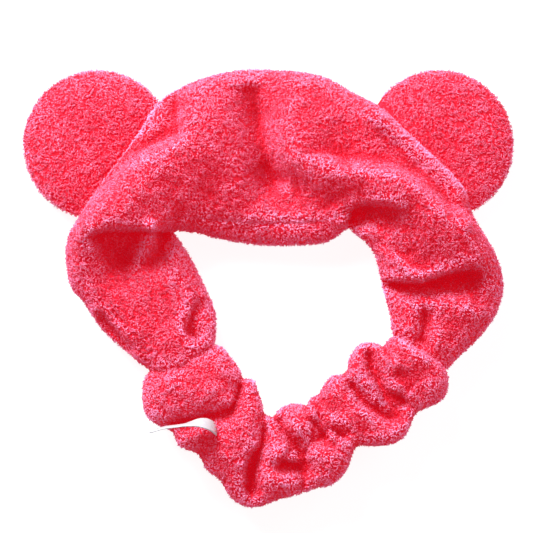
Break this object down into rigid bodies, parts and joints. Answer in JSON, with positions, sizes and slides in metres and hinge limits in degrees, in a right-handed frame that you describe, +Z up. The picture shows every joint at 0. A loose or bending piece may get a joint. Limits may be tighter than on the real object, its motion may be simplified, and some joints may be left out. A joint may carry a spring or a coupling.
{
  "type": "spa headband",
  "caption": "Plush fleece spa headband with a wide soft forehead band, round padded ears and a gathered elastic sleeve at the back.",
  "frame": {"origin": "on the table, under the middle of the laid headband's box", "axes": "+X from the left ear to the right ear, +Y from the gathered back to the ears, +Z up from the table"},
  "size_m": [0.256, 0.226, 0.041],
  "materials": {
    "fleece": "short curly pile",
    "thread": "matt spun thread",
    "padding": "loose white fibre",
    "elastic": "woven elastic",
    "satin": "satin ribbon"
  },
  "bodies": {
    "band": {"outer_panel": "fleece", "inner_panel": "fleece", "lower_seam_stitches": "thread", "upper_seam_stitches": "thread", "left_root_stitches": "thread", "right_root_stitches": "thread", "left_join_stitches": "thread", "right_join_stitches": "thread"},
    "left_ear": {"left_ear_front": "fleece", "left_ear_back": "fleece", "left_ear_padding": "padding", "left_ear_stitches": "thread"},
    "right_ear": {"right_ear_front": "fleece", "right_ear_back": "fleece", "right_ear_padding": "padding", "right_ear_stitches": "thread"},
    "rear": {"gathered_sleeve": "fleece", "elastic_strip": "elastic"},
    "label": {"care_label": "satin", "label_stitches": "thread"}
  },
  "joints": [
    {"name": "left_ear_fold", "type": "hinge", "parent": "band", "child": "left_ear", "pos_m": [-0.0773, 0.06611, 0.006], "axis": [0.5736, 0.8192, 0], "range_deg": [-85, 45], "stiffness_Nm_per_rad": 0.01},
    {"name": "right_ear_fold", "type": "hinge", "parent": "band", "child": "right_ear", "pos_m": [0.08464, 0.0705, 0.006], "axis": [0.6428, -0.766, 0], "range_deg": [-85, 45], "stiffness_Nm_per_rad": 0.01},
    {"name": "rear_stretch", "type": "slide", "parent": "band", "child": "rear", "axis": [0, -1, 0], "range_m": [0, 0.04], "stiffness_N_per_m": 100, "deforming": ["gathered_sleeve", "elastic_strip"]},
    {"name": "label_flip", "type": "hinge", "parent": "rear", "child": "label", "pos_m": [-0.029, -0.074, 0.036], "axis": [0, 0, 1], "range_deg": [-60, 60], "stiffness_Nm_per_rad": 0.0002}
  ]
}
